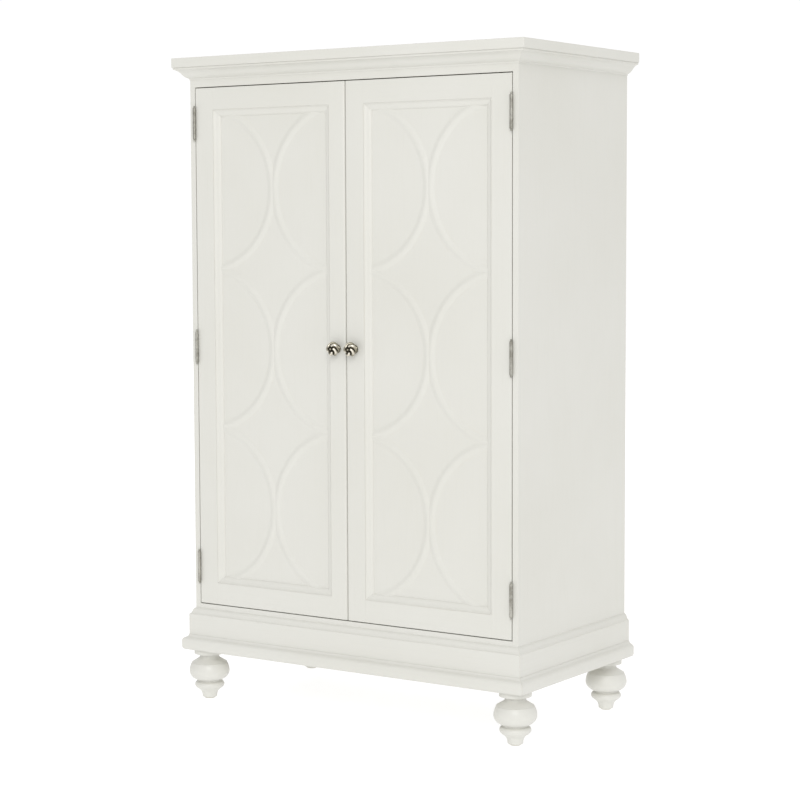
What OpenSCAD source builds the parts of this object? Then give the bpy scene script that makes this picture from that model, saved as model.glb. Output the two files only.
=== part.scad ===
// Two-door armoire: painted wooden case on turned bun feet, inset panel doors on butt hinges.
// +Z is up and the doors face -Y. The origin is on the floor, at the middle of the width and depth.

/* [Overall size] */
// Width over the top board
overall_w = 1040; // [940:10:1200]
// Depth over the top board
overall_d = 562; // [500:2:640]
// Height from the floor to the top
overall_h = 1650; // [1600:10:1900]

/* [Case] */
// How far the top board stands out past the case, at the front and the sides
top_overhang = 34; // [30:1:45]
// Thickness of the top board
top_board_t = 24; // [18:1:30]
// Thickness of the side panels
side_t = 15; // [12:1:20]
// Thickness of the inner top and bottom panels and the hat shelf
board_t = 18; // [15:1:22]
// Thickness of the back panel
back_t = 6; // [4:1:9]
// How far the back panel lies in from the back edges of the sides
back_set_in = 1; // [0.5:0.5:2]
// Depth of the rebate that holds the back panel in each side
rebate = 8; // [5:1:10]
// Height of the top edge of the rail below the doors
opening_bottom = 251.5; // [248:0.5:260]
// Height of the rail above the doors
top_rail_h = 49.5; // [46:0.5:60]
// Height of the crown moulding under the top board
crown_h = 31; // [28:1:40]

/* [Base] */
// Height of the feet, glides included
foot_h = 130; // [128:1:150]
// Distance from the case corner to the foot's axis, sideways
foot_in_x = 22; // [20:1:30]
// Distance from the case front to the front feet's axis
foot_in_front = 25; // [24:1:32]
// Distance from the case back to the back feet's axis
foot_in_back = 56; // [52:1:70]
// Radius of the foot's ball
foot_ball_r = 52; // [46:1:54]
// Thickness of the base frame
frame_t = 40; // [36:1:44]
// Width of the boards of the base frame
frame_w = 90; // [90:1:110]
// How far the base frame stands out past the case
frame_out = 27; // [24:1:30]
// Thickness of the plinth boards
plinth_t = 13; // [10:1:16]
// Height of the plinth boards
plinth_h = 70; // [60:1:76]

/* [Doors] */
// Thickness of the doors
door_t = 22; // [20:1:24]
// Gap round the doors
door_gap = 2.5; // [2.5:0.1:3]
// Gap between the two doors
meeting_gap = 1.6; // [1.4:0.1:3]
// How far the gap between the doors lies to the left of the middle
meeting_shift = 4; // [0:0.5:6]
// Rounding of the front of the doors' meeting edges
meeting_round = 5; // [1:0.5:8]
// Width of the stile at the hinges
hinge_stile_w = 55; // [50:1:70]
// Width of the stile where the doors meet
meeting_stile_w = 50; // [46:1:70]
// Width of the top and bottom rails
rail_w = 55; // [50:1:70]
// Thickness of the door panel
panel_t = 6; // [5:0.5:7]
// Depth of the panel's face behind the door's face
panel_recess = 11.5; // [10:0.5:12]
// Depth of the groove that holds the panel
groove = 8; // [6:1:10]
// Width of the moulding round the panel
sticking_w = 18; // [14:1:22]
// Width of the curved beads on the panel
bead_w = 28; // [20:1:30]
// Width of the flat top of a bead
bead_top_w = 10; // [8:1:12]
// Height of the curved beads above the panel
bead_h = 4; // [3:0.5:6]
// Distance from the panel's middle to the middle of a bead, where the curves come closest
bead_apart = 4.5; // [3:0.5:6]

/* [Hardware] */
// Height of the middle hinges
hinge_mid_z = 917; // [900:1:930]
// Distance from the middle hinges up and down to the other ones
hinge_spacing = 568; // [500:4:580]
// Height of a hinge's barrel
hinge_h = 76; // [60:1:90]
// Radius of a hinge's barrel
barrel_r = 4; // [3.8:0.1:4.6]
// Radius of a hinge pin
pin_r = 2; // [1.8:0.1:2.2]
// Distance from the door's face to the hinge pin's axis
pin_out = 5; // [5:0.1:6]
// Height of the knobs
knob_z = 925; // [850:5:1000]
// Distance from the middle of the gap between the doors to a knob's axis
knob_in = 26; // [22:0.5:28]
// Radius of a knob
knob_r = 18; // [15:0.5:20]
// Distance that a knob stands out from the door
knob_out = 31; // [26:1:32]

/* [Inside] */
// Height of the hat shelf's underside
shelf_z = 1310; // [1200:10:1350]
// Distance from the hat shelf's underside down to the rod's axis
rod_drop = 70; // [60:5:100]
// Radius of the hanging rod
rod_r = 12.5; // [10:0.5:16]

/* [Hidden] */
$fn = 64;

// Finishes
PAINT = "#ebe8de";
PLAIN_WOOD = "#d9c7a3";
NICKEL = "#a9a39a";
KNOB_METAL = "#b59f7d";
STEEL = "#9a9ca0";
PLASTIC = "#e6e3da";

// Case
case_w = overall_w - 2 * top_overhang;
case_front = -overall_d / 2 + top_overhang;
case_back = overall_d / 2;
inner_x = case_w / 2 - side_t;
inner_back = case_back - back_set_in - back_t;
base_top = foot_h + frame_t;
case_top = overall_h - top_board_t;
opening_top = case_top - top_rail_h;
// The doors close against the inner panels, a little behind their own back faces
stop_gap = 1;
front_rail_t = door_t + stop_gap;
inner_front = case_front + front_rail_t;
// How far the inner panels reach past the opening's edge to stop the doors
stop_lap = 10.5;
inner_floor = opening_bottom + stop_lap;
inner_ceiling = opening_top - stop_lap;
back_rail_t = 22;

// Doors: sizes are for the right door, and the left one mirrors it, apart from its meeting edge and knob
door_x1 = inner_x - door_gap;
door_z0 = opening_bottom + door_gap;
door_z1 = opening_top - door_gap;
door_back = case_front + door_t;
panel_x0 = meeting_gap / 2 + meeting_stile_w;
// Meeting edges: of the right door, and of the left door before it is mirrored
right_edge = meeting_gap / 2 - meeting_shift;
left_edge = meeting_gap / 2 + meeting_shift;
// Rounding of the back of the meeting edges, which keeps one door clear of the other as it swings
meeting_back_round = 3;
// Knobs: of the right door, and of the left door before it is mirrored
right_knob_x = knob_in - meeting_shift;
left_knob_x = knob_in + meeting_shift;
panel_x1 = door_x1 - hinge_stile_w;
panel_z0 = door_z0 + rail_w;
panel_z1 = door_z1 - rail_w;
panel_w = panel_x1 - panel_x0;
panel_h = panel_z1 - panel_z0;
panel_face = case_front + panel_recess;
// Room for the panel's edge in its groove, all round
groove_play = 0.5;

// Curved beads: three rows of two facing arcs
bead_rows = 3;
row_pitch = panel_h / bead_rows;
bead_ring_r = row_pitch / 2 + 1;
// Half of the hairline between two pieces of trim that meet
joint = 0.1;

// Hinges
hinge_axis = [inner_x - door_gap / 2, case_front - pin_out];
hinge_heights = [for (i = [-1:1]) hinge_mid_z + i * hinge_spacing];
leaf_play = 0.1;
leaf_t = door_gap / 2 - leaf_play;
leaf_reach = 18;
knuckles = 5;
knuckle_gap = 0.3;
knuckle_h = (hinge_h - (knuckles - 1) * knuckle_gap) / knuckles;
pin_play = 0.05;
finial_h = 7;
hinge_screw_at = [-26, 0, 26];
hinge_screw_head_r = 3.2;
hinge_screw_r = 1.75;
hinge_screw_l = 13;

// Inside
rod_z = shelf_z - rod_drop;
rod_y = (inner_front + inner_back) / 2;
rod_play = 0.1;
socket_flange_r = 27;
socket_flange_t = 3;
socket_cup_r = 16.5;
socket_cup_l = 14;
socket_screw_at = 21.5;
catch_x = 62;
catch_size = [46, 15, 13];
strike_size = [34, 1.5, 13];
catch_gap = 0.3;
catch_screw_at = 17;
screw_r = 1.75;
screw_head_r = 3.5;
screw_head_t = 2;
// How deep a small screw goes into the wood
screw_bite = 11;
// How far a cutting shape reaches past the face that it cuts
slack = 1;

// ---- Helpers ----

// Mirror image to the left side
module left() {
    mirror([1, 0, 0]) children();
}

// A box from its lowest to its highest corner
module box(low, high) {
    translate(low) cube(high - low);
}

// Points of an S-shaped curve from a to b that swings out by `bulge` on both sides of the line
function ogee(a, b, bulge, steps = 12) =
    let (run = b - a, across = [run[1], -run[0]] / norm(run))
    [for (i = [0:steps]) a + run * i / steps + across * bulge * sin(360 * i / steps)];

// Points of an arc about a centre, from angle a0 to a1, with radii across and up
function arc(centre, rx, ry, a0, a1, steps = 12) =
    [for (i = [0:steps]) let (a = a0 + (a1 - a0) * i / steps) centre + [rx * cos(a), ry * sin(a)]];

// Plan of the front piece of a mitred moulding, cut at 45 degrees through the case's front corners
module front_plan(out, in) {
    half = case_w / 2;
    translate([0, case_front]) polygon([
        [-half - out, -out], [half + out, -out], [half - in, in], [in - half, in]
    ]);
}

// Plan of the right-hand piece of a mitred moulding
module side_plan(out, in) {
    half = case_w / 2;
    polygon([
        [half + out, case_front - out], [half + out, case_back],
        [half - in, case_back], [half - in, case_front + in]
    ]);
}

// Moulding along the front; `outline` holds [out from the case, height] points
module front_moulding(outline, out, in = 0) {
    intersection() {
        translate([-overall_w / 2, case_front, 0]) rotate([90, 0, 90])
            linear_extrude(overall_w) polygon([for (p = outline) [-p[0], p[1]]]);
        linear_extrude(overall_h) front_plan(out, in);
    }
}

// Moulding along the right side; `outline` holds [out from the case, height] points
module side_moulding(outline, out, in = 0) {
    intersection() {
        translate([case_w / 2, case_back, 0]) rotate([90, 0, 0])
            linear_extrude(overall_d) polygon(outline);
        linear_extrude(overall_h) side_plan(out, in);
    }
}

// Screw with a pan head, pointing along +Z, with its head's underside at z = 0
module pan_screw(length) {
    cylinder(r = screw_r, h = length);
    translate([0, 0, -screw_head_t]) cylinder(r = screw_head_r, h = screw_head_t);
}

// ---- Top and crown ----

module top_board() {
    color(PAINT) box(
        [-overall_w / 2, -overall_d / 2, case_top],
        [overall_w / 2, overall_d / 2, overall_h]
    );
}

// Flat edge under the top board, a little behind the board's own edge
crown_set_back = 3;
crown_out = top_overhang - crown_set_back;
crown_edge_h = 5;
crown_edge_z = case_top - crown_edge_h;
// Quirk between the flat edge and the curve
crown_quirk = 2.5;
// Thin bead at the foot of the curve: [out from the case, height]
crown_bead = [1.5, 3];
crown_z = case_top - crown_h;
crown_swing = 1.4;
crown_outline = concat(
    [[0, crown_z], [crown_bead[0], crown_z], [crown_bead[0], crown_z + crown_bead[1]]],
    ogee(
        [crown_bead[0] + 0.5, crown_z + crown_bead[1] + 1],
        [crown_out - crown_quirk, crown_edge_z],
        crown_swing
    ),
    [[crown_out, crown_edge_z], [crown_out, case_top], [0, case_top]]
);

module crown_front() {
    color(PAINT) front_moulding(crown_outline, crown_out);
}

module crown_right() {
    color(PAINT) side_moulding(crown_outline, crown_out);
}

module crown_left() {
    left() crown_right();
}

// ---- Case ----

module side_panel_right() {
    color(PAINT) difference() {
        box([inner_x, case_front, base_top], [case_w / 2, case_back, case_top]);
        box(
            [inner_x - slack, inner_back, base_top - slack],
            [inner_x + rebate, case_back + slack, case_top + slack]
        );
    }
}

module side_panel_left() {
    left() side_panel_right();
}

module front_top_rail() {
    color(PAINT) box([-inner_x, case_front, opening_top], [inner_x, inner_front, case_top]);
}

module front_bottom_rail() {
    color(PAINT) box([-inner_x, case_front, base_top], [inner_x, inner_front, opening_bottom]);
}

module top_panel() {
    color(PAINT) box(
        [-inner_x, inner_front, inner_ceiling],
        [inner_x, inner_back, inner_ceiling + board_t]
    );
}

module bottom_panel() {
    color(PAINT) box(
        [-inner_x, inner_front, inner_floor - board_t],
        [inner_x, inner_back, inner_floor]
    );
}

module back_panel() {
    color(PLAIN_WOOD) box(
        [-inner_x - rebate, inner_back, base_top],
        [inner_x + rebate, inner_back + back_t, case_top]
    );
}

module back_top_rail() {
    color(PLAIN_WOOD) box(
        [-inner_x, inner_back - back_rail_t, inner_ceiling + board_t],
        [inner_x, inner_back, case_top]
    );
}

module back_bottom_rail() {
    color(PLAIN_WOOD) box(
        [-inner_x, inner_back - back_rail_t, base_top],
        [inner_x, inner_back, inner_floor - board_t]
    );
}

// ---- Base ----

// Moulded edge: rounded below, a flat nose, and an S-shaped slope above it that runs in to the plinth
frame_in = frame_w - frame_out;
// Rounding below: [inward, up]
frame_under = [8, 9];
frame_under_mid = [frame_out - frame_under[0], foot_h + frame_under[1]];
frame_slope_h = 14;
frame_swing = 1.2;
frame_edge = 1;
frame_outline = concat(
    [[-frame_in, foot_h]],
    arc(frame_under_mid, frame_under[0], frame_under[1], -90, 0, 8),
    ogee([frame_out, base_top - frame_slope_h], [plinth_t + frame_edge, base_top - frame_edge], frame_swing),
    [[plinth_t + frame_edge, base_top], [-frame_in, base_top]]
);

module base_frame_front() {
    color(PAINT) front_moulding(frame_outline, frame_out, frame_in);
}

module base_frame_right() {
    color(PAINT) side_moulding(frame_outline, frame_out, frame_in);
}

module base_frame_left() {
    left() base_frame_right();
}

module base_frame_back() {
    color(PAINT) box(
        [frame_in - case_w / 2, case_back - frame_w, foot_h],
        [case_w / 2 - frame_in, case_back, base_top]
    );
}

// S-shaped top edge of the plinth boards, which ends in a thin edge against the case
plinth_curve_h = 17;
plinth_swing = -1.2;
plinth_edge = 1;
plinth_z = base_top + plinth_h;
plinth_outline = concat(
    [[0, base_top], [plinth_t, base_top]],
    ogee([plinth_t, plinth_z - plinth_curve_h], [plinth_edge, plinth_z - plinth_edge], plinth_swing),
    [[0, plinth_z]]
);

module plinth_front() {
    color(PAINT) front_moulding(plinth_outline, plinth_t);
}

module plinth_right() {
    color(PAINT) side_moulding(plinth_outline, plinth_t);
}

module plinth_left() {
    left() plinth_right();
}

// ---- Feet ----

foot_x = case_w / 2 - foot_in_x;
foot_front_y = case_front + foot_in_front;
foot_back_y = case_back - foot_in_back;
glide_t = 3;
glide_r = 13;
foot_bolt_r = 4;
foot_bolt_z = 96;
foot_bolt_l = 68;
// Round plate at the top of a foot, under the base frame
foot_plate_r = 39;
foot_plate_t = 12.5;
foot_plate_z = foot_h - foot_plate_t;
// Neck above the ball, with a hollow [inward, up] at its foot and a straight length above that
upper_neck_r = 24.5;
upper_neck_h = 3.5;
upper_hollow = [10, 11];
upper_hollow_mid = [upper_neck_r + upper_hollow[0], foot_plate_z - upper_neck_h];
// Straight shoulder between the hollow and the ball, from its lower edge: [radius, height]
shoulder_low = [45.5, 95];
// Ball: its edge curves about a circle of radius ball_in, and is taller above its middle than below
ball_z = 72;
ball_in = 24;
ball_below = 24;
ball_above = 34;
// Neck below the ball
lower_neck_r = 30;
lower_neck_z = [45.5, 48];
// Ring between the lower neck and the toe: how far its edge stands out, its half height and its middle
ring_out = 7.2;
ring_half_h = 8;
ring_z = 36.5;
ring_core_r = 31;
// Toe, with a chamfer [inward, up] round its end and a hollow flare [outward, up] up to the ring
toe_r = 19;
toe_chamfer = [1.5, 2];
toe_flare = [22, 23];
toe_flare_z = 6;

// Turned outline, from the toe up: [radius, height] points
foot_outline = concat(
    [[0, glide_t], [toe_r - toe_chamfer[0], glide_t], [toe_r, glide_t + toe_chamfer[1]]],
    arc([toe_r + toe_flare[0], toe_flare_z], toe_flare[0], toe_flare[1], 180, 112, 8),
    arc([ring_core_r, ring_z], ring_out, ring_half_h, -75, 72, 8),
    [for (z = lower_neck_z) [lower_neck_r, z]],
    arc([ball_in, ball_z], foot_ball_r - ball_in, ball_below, -76, 0, 8),
    arc([ball_in, ball_z], foot_ball_r - ball_in, ball_above, 6, 38, 5),
    [shoulder_low],
    arc(upper_hollow_mid, upper_hollow[0], upper_hollow[1], 235, 180, 5),
    [[upper_neck_r, foot_plate_z], [foot_plate_r, foot_plate_z], [foot_plate_r, foot_h], [0, foot_h]]
);

module foot(x, y) {
    color(PAINT) translate([x, y, 0]) rotate_extrude() polygon(foot_outline);
}

module foot_front_right() {
    foot(foot_x, foot_front_y);
}

module foot_front_left() {
    foot(-foot_x, foot_front_y);
}

module foot_back_right() {
    foot(foot_x, foot_back_y);
}

module foot_back_left() {
    foot(-foot_x, foot_back_y);
}

// What it holds, once at each of the four feet
module at_feet() {
    for (x = [-foot_x, foot_x], y = [foot_front_y, foot_back_y]) translate([x, y, 0]) children();
}

module foot_bolts() {
    color(STEEL) at_feet() translate([0, 0, foot_bolt_z]) cylinder(r = foot_bolt_r, h = foot_bolt_l);
}

module foot_glides() {
    color(PLASTIC) at_feet() cylinder(r = glide_r, h = glide_t);
}

// ---- Inside ----

// How far the hat shelf's front edge stays behind the case's front
shelf_set_back = 60;
shelf_front = case_front + shelf_set_back;
cleat = 18;
cleat_end_gap = 30;

module hat_shelf() {
    color(PAINT) box([-inner_x, shelf_front, shelf_z], [inner_x, inner_back, shelf_z + board_t]);
}

module side_cleat() {
    box(
        [inner_x - cleat, shelf_front + cleat_end_gap, shelf_z - cleat],
        [inner_x, inner_back - cleat_end_gap, shelf_z]
    );
}

module shelf_cleats() {
    color(PAINT) {
        side_cleat();
        left() side_cleat();
        box(
            [cleat_end_gap - inner_x, inner_back - cleat, shelf_z - cleat],
            [inner_x - cleat_end_gap, inner_back, shelf_z]
        );
    }
}

module hanging_rod() {
    rod_l = 2 * (inner_x - socket_flange_t - slack / 2);
    color(NICKEL) translate([-rod_l / 2, rod_y, rod_z]) rotate([0, 90, 0]) cylinder(r = rod_r, h = rod_l);
}

// Flange on the right side panel with a cup that holds the rod's end
module rod_socket() {
    translate([inner_x, rod_y, rod_z]) rotate([0, -90, 0]) {
        cylinder(r = socket_flange_r, h = socket_flange_t);
        translate([0, 0, socket_flange_t]) difference() {
            cylinder(r = socket_cup_r, h = socket_cup_l - socket_flange_t);
            translate([0, 0, -slack]) cylinder(r = rod_r + rod_play, h = socket_cup_l);
        }
    }
}

module rod_sockets() {
    color(NICKEL) {
        rod_socket();
        left() rod_socket();
    }
}

module magnetic_catch() {
    catch_front = door_back + strike_size[1] + catch_gap;
    translate([catch_x - catch_size[0] / 2, catch_front, inner_ceiling - catch_size[2]]) cube(catch_size);
}

module magnetic_catches() {
    color(PLASTIC) {
        magnetic_catch();
        left() magnetic_catch();
    }
}

// Screws of one rod socket and one magnetic catch
module interior_screws_right() {
    for (z = [-socket_screw_at, socket_screw_at])
        translate([inner_x - socket_flange_t, rod_y, rod_z + z]) rotate([0, 90, 0])
            pan_screw(socket_flange_t + screw_bite);
    catch_mid = door_back + strike_size[1] + catch_gap + catch_size[1] / 2;
    for (x = [-catch_screw_at, catch_screw_at])
        translate([catch_x + x, catch_mid, inner_ceiling - catch_size[2]])
            pan_screw(catch_size[2] + screw_bite);
}

module interior_screws() {
    color(STEEL) {
        interior_screws_right();
        left() interior_screws_right();
    }
}

// ---- Hinges ----

function knuckle_z(i) = i * (knuckle_h + knuckle_gap) - hinge_h / 2;

// What it holds, at each hinge's axis on the right side
module at_hinges() {
    for (z = hinge_heights) translate([hinge_axis[0], hinge_axis[1], z]) children();
}

// Countersunk screw along +X, with its head flush with the leaf's inner face
module hinge_screw() {
    translate([leaf_play, pin_out + leaf_reach / 2, 0]) rotate([0, 90, 0]) {
        cylinder(r1 = hinge_screw_head_r, r2 = hinge_screw_r, h = leaf_t);
        translate([0, 0, leaf_t]) cylinder(r = hinge_screw_r, h = hinge_screw_l);
    }
}

// Leaf on the +X side of the pin; `own` lists the knuckles that belong to it
module hinge_leaf(own) {
    tab_in = 2;
    difference() {
        union() {
            translate([leaf_play, pin_out, -hinge_h / 2]) cube([leaf_t, leaf_reach, hinge_h]);
            for (i = own) translate([0, 0, knuckle_z(i)]) {
                cylinder(r = barrel_r, h = knuckle_h);
                translate([leaf_play, pin_out - tab_in, 0]) cube([leaf_t, tab_in, knuckle_h]);
            }
        }
        translate([0, 0, -hinge_h / 2 - slack]) cylinder(r = pin_r + pin_play, h = hinge_h + 2 * slack);
        for (z = hinge_screw_at) translate([0, 0, z]) hinge_screw();
    }
}

// Pin with a turned finial at each end
module hinge_pin() {
    cap_t = 1.2;
    ball_at = 4.2;
    ball_r = 2.6;
    finial = concat(
        [[0, 0], [barrel_r, 0], [barrel_r, cap_t], [barrel_r - cap_t, cap_t + 0.8]],
        arc([0, ball_at], ball_r, finial_h - ball_at, -30, 90, 8)
    );
    cylinder(r = pin_r, h = hinge_h, center = true);
    for (end = [0, 1]) mirror([0, 0, end])
        translate([0, 0, hinge_h / 2]) rotate_extrude() polygon(finial);
}

module frame_hinge_leaves() {
    color(NICKEL) for (side = [0, 1]) mirror([side, 0, 0]) at_hinges() hinge_leaf([0, 2, 4]);
}

module hinge_pins() {
    color(NICKEL) for (side = [0, 1]) mirror([side, 0, 0]) at_hinges() hinge_pin();
}

module frame_hinge_screws() {
    color(NICKEL) for (side = [0, 1]) mirror([side, 0, 0]) at_hinges()
        for (z = hinge_screw_at) translate([0, 0, z]) hinge_screw();
}

module right_door_hinge_leaves() {
    color(NICKEL) at_hinges() mirror([1, 0, 0]) hinge_leaf([1, 3]);
}

module right_door_hinge_screws() {
    color(NICKEL) at_hinges() mirror([1, 0, 0])
        for (z = hinge_screw_at) translate([0, 0, z]) hinge_screw();
}

module left_door_hinge_leaves() {
    left() right_door_hinge_leaves();
}

module left_door_hinge_screws() {
    left() right_door_hinge_screws();
}

// ---- Doors ----

// Groove round the opening that holds the panel's edges
module panel_groove() {
    box(
        [panel_x0 - groove, panel_face, panel_z0 - groove],
        [panel_x1 + groove, panel_face + panel_t, panel_z1 + groove]
    );
}

module right_door_hinge_stile() {
    color(PAINT) difference() {
        box([panel_x1, case_front, door_z0], [door_x1, door_back, door_z1]);
        panel_groove();
    }
}

module meeting_stile(edge) {
    front = meeting_round;
    back = meeting_back_round;
    color(PAINT) difference() {
        translate([0, 0, door_z0]) linear_extrude(door_z1 - door_z0) polygon(concat(
            arc([edge + front, case_front + front], front, front, 180, 270, 8),
            [[panel_x0, case_front], [panel_x0, door_back]],
            arc([edge + back, door_back - back], back, back, 90, 180, 6)
        ));
        panel_groove();
    }
}

module right_door_meeting_stile() {
    meeting_stile(right_edge);
}

module right_door_top_rail() {
    color(PAINT) difference() {
        box([panel_x0, case_front, panel_z1], [panel_x1, door_back, door_z1]);
        panel_groove();
    }
}

module right_door_bottom_rail() {
    color(PAINT) difference() {
        box([panel_x0, case_front, door_z0], [panel_x1, door_back, panel_z0]);
        panel_groove();
    }
}

module right_door_panel() {
    edge = groove - groove_play;
    color(PAINT) box(
        [panel_x0 - edge, panel_face, panel_z0 - edge],
        [panel_x1 + edge, panel_face + panel_t, panel_z1 + edge]
    );
}

// Section of the panel moulding: [in from the frame's edge, height above the panel] points
sticking_h = panel_recess - 0.5;
sticking_flat_w = 2;
sticking_edge_h = 2;
sticking_swing = 1.2;
sticking_outline = concat(
    [[0, 0], [0, sticking_h], [sticking_flat_w, sticking_h]],
    ogee([sticking_flat_w + 1, sticking_h - 1], [sticking_w - 1, sticking_edge_h], sticking_swing),
    [[sticking_w, sticking_edge_h - 0.5], [sticking_w, 0]]
);

// One length of panel moulding along +X, mitred at both ends, with +Z pointing into the panel
module sticking(length) {
    cut = sticking_w + joint;
    intersection() {
        rotate([90, 0, 90]) linear_extrude(length) polygon([for (p = sticking_outline) [-p[1], p[0]]]);
        rotate([90, 0, 0]) linear_extrude(panel_recess) polygon([
            [joint, 0], [length - joint, 0], [length - cut, sticking_w], [cut, sticking_w]
        ]);
    }
}

module right_door_panel_moulding() {
    color(PAINT) {
        translate([panel_x0, panel_face, panel_z0]) sticking(panel_w);
        translate([panel_x0, panel_face, panel_z1]) mirror([0, 0, 1]) sticking(panel_w);
        translate([panel_x0, panel_face, panel_z0]) mirror([1, 0, -1]) sticking(panel_h);
        translate([panel_x1, panel_face, panel_z0]) mirror([1, 0, 0]) mirror([1, 0, -1]) sticking(panel_h);
    }
}

// Flat-topped bead bent into a full ring about -Y, standing on y = 0
module bead_ring() {
    rotate([90, 0, 0]) rotate_extrude() translate([bead_ring_r, 0]) polygon([
        [-bead_w / 2, 0], [bead_w / 2, 0], [bead_top_w / 2, bead_h], [-bead_top_w / 2, bead_h]
    ]);
}

// One arc of the lattice: the part of a ring that lies on its half of the panel
module lattice_arc() {
    half_w = panel_w / 2 - sticking_w - joint;
    half_h = row_pitch / 2 - joint;
    intersection() {
        translate([bead_ring_r + bead_apart, 0, 0]) bead_ring();
        box([joint, -bead_h, -half_h], [half_w, 0, half_h]);
    }
}

module right_door_lattice() {
    end_trim = sticking_w + joint;
    color(PAINT) intersection() {
        translate([(panel_x0 + panel_x1) / 2, panel_face, (panel_z0 + panel_z1) / 2])
            for (row = [-1:1], side = [0, 1])
                translate([0, 0, row * row_pitch]) mirror([side, 0, 0]) lattice_arc();
        box(
            [panel_x0, case_front, panel_z0 + end_trim],
            [panel_x1, panel_face, panel_z1 - end_trim]
        );
    }
}

// Knob turned about an axis that points out of the door
knob_half_d = 12.5;
knob_base_r = 11;
knob_base_t = 1.5;
knob_neck_r = 7;
knob_neck_z = [5, 7];
knob_screw_bite = 14;
knob_outline = concat(
    [[0, 0], [knob_base_r, 0]],
    // hollow from the base to the neck
    arc(
        [knob_base_r, knob_neck_z[0]],
        knob_base_r - knob_neck_r, knob_neck_z[0] - knob_base_t, -90, -180, 6
    ),
    [[knob_neck_r, knob_neck_z[1]]],
    arc([0, knob_out - knob_half_d], knob_r, knob_half_d, -60, 90, 18)
);

module knob(x) {
    color(KNOB_METAL) translate([x, case_front, knob_z]) rotate([90, 0, 0])
        rotate_extrude() polygon(knob_outline);
}

module knob_screw(x) {
    color(STEEL) translate([x, door_back, knob_z]) rotate([90, 0, 0])
        pan_screw(door_t + knob_screw_bite);
}

module right_door_knob() {
    knob(right_knob_x);
}

module right_door_knob_screw() {
    knob_screw(right_knob_x);
}

module right_door_strike_plate() {
    color(STEEL) translate([catch_x - strike_size[0] / 2, door_back, inner_ceiling - catch_size[2]])
        cube(strike_size);
}

module left_door_hinge_stile() {
    left() right_door_hinge_stile();
}

module left_door_meeting_stile() {
    left() meeting_stile(left_edge);
}

module left_door_top_rail() {
    left() right_door_top_rail();
}

module left_door_bottom_rail() {
    left() right_door_bottom_rail();
}

module left_door_panel() {
    left() right_door_panel();
}

module left_door_panel_moulding() {
    left() right_door_panel_moulding();
}

module left_door_lattice() {
    left() right_door_lattice();
}

module left_door_knob() {
    left() knob(left_knob_x);
}

module left_door_knob_screw() {
    left() knob_screw(left_knob_x);
}

module left_door_strike_plate() {
    left() right_door_strike_plate();
}

top_board();
crown_front();
crown_left();
crown_right();
side_panel_left();
side_panel_right();
front_top_rail();
front_bottom_rail();
top_panel();
bottom_panel();
back_panel();
back_top_rail();
back_bottom_rail();
base_frame_front();
base_frame_left();
base_frame_right();
base_frame_back();
plinth_front();
plinth_left();
plinth_right();
foot_front_left();
foot_front_right();
foot_back_left();
foot_back_right();
foot_bolts();
foot_glides();
hat_shelf();
shelf_cleats();
hanging_rod();
rod_sockets();
interior_screws();
magnetic_catches();
frame_hinge_leaves();
hinge_pins();
frame_hinge_screws();
left_door_hinge_stile();
left_door_meeting_stile();
left_door_top_rail();
left_door_bottom_rail();
left_door_panel();
left_door_panel_moulding();
left_door_lattice();
left_door_knob();
left_door_knob_screw();
left_door_hinge_leaves();
left_door_hinge_screws();
left_door_strike_plate();
right_door_hinge_stile();
right_door_meeting_stile();
right_door_top_rail();
right_door_bottom_rail();
right_door_panel();
right_door_panel_moulding();
right_door_lattice();
right_door_knob();
right_door_knob_screw();
right_door_hinge_leaves();
right_door_hinge_screws();
right_door_strike_plate();
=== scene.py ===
"""Looks of a painted two-door armoire on turned feet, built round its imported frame.

Metres, +Z up, doors facing -Y. Places come from the frame's boxes. Sizes of small shapes are in millimetres
and are turned into metres with MM.
"""

import math
import random

import bmesh
import bpy
from mathutils import Matrix, Vector


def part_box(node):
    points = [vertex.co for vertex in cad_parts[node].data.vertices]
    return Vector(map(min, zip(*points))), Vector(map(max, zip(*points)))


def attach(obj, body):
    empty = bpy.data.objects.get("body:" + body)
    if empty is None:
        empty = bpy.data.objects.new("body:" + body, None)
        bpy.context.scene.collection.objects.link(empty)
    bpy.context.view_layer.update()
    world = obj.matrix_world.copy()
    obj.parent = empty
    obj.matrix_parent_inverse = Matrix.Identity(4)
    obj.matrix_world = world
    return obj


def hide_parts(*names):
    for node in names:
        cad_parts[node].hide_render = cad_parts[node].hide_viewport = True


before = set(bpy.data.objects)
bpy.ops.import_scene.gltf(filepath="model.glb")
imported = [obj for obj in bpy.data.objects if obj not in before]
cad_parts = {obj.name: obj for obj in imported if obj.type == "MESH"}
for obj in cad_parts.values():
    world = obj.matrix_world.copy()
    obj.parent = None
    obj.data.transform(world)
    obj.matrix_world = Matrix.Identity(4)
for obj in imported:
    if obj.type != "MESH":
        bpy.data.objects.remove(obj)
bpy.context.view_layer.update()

MM = 0.001
DOORS = ("left_door", "right_door")
# Lengths below this count as none, in metres or in millimetres
NO_LENGTH = 1e-7

# Camera: where it stands, its heading left of +Y, its tilt down and its roll, in degrees
CAMERA_AT = (2.999, -4.452, 1.223)
CAMERA_YAW = 34.07
CAMERA_TILT = 4.69
CAMERA_ROLL = -0.21
CAMERA_LENS = 95.25

# Case: faces that the mouldings follow
side_low, side_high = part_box("side_panel_right")
CASE_HALF = side_high.x
CASE_FRONT = side_low.y
CASE_BACK = side_high.y
# Half of the hairline that shows at a mitre
MITRE_GAP = 0.1 * MM


# ---- Outlines ----


def arc(centre, across, up, start, end, steps=14):
    """Points of an arc about centre, from start to end degrees, with its radii across and up."""
    angles = [math.radians(start + (end - start) * i / steps) for i in range(steps + 1)]
    return [(centre[0] + across * math.cos(a), centre[1] + up * math.sin(a)) for a in angles]


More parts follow.
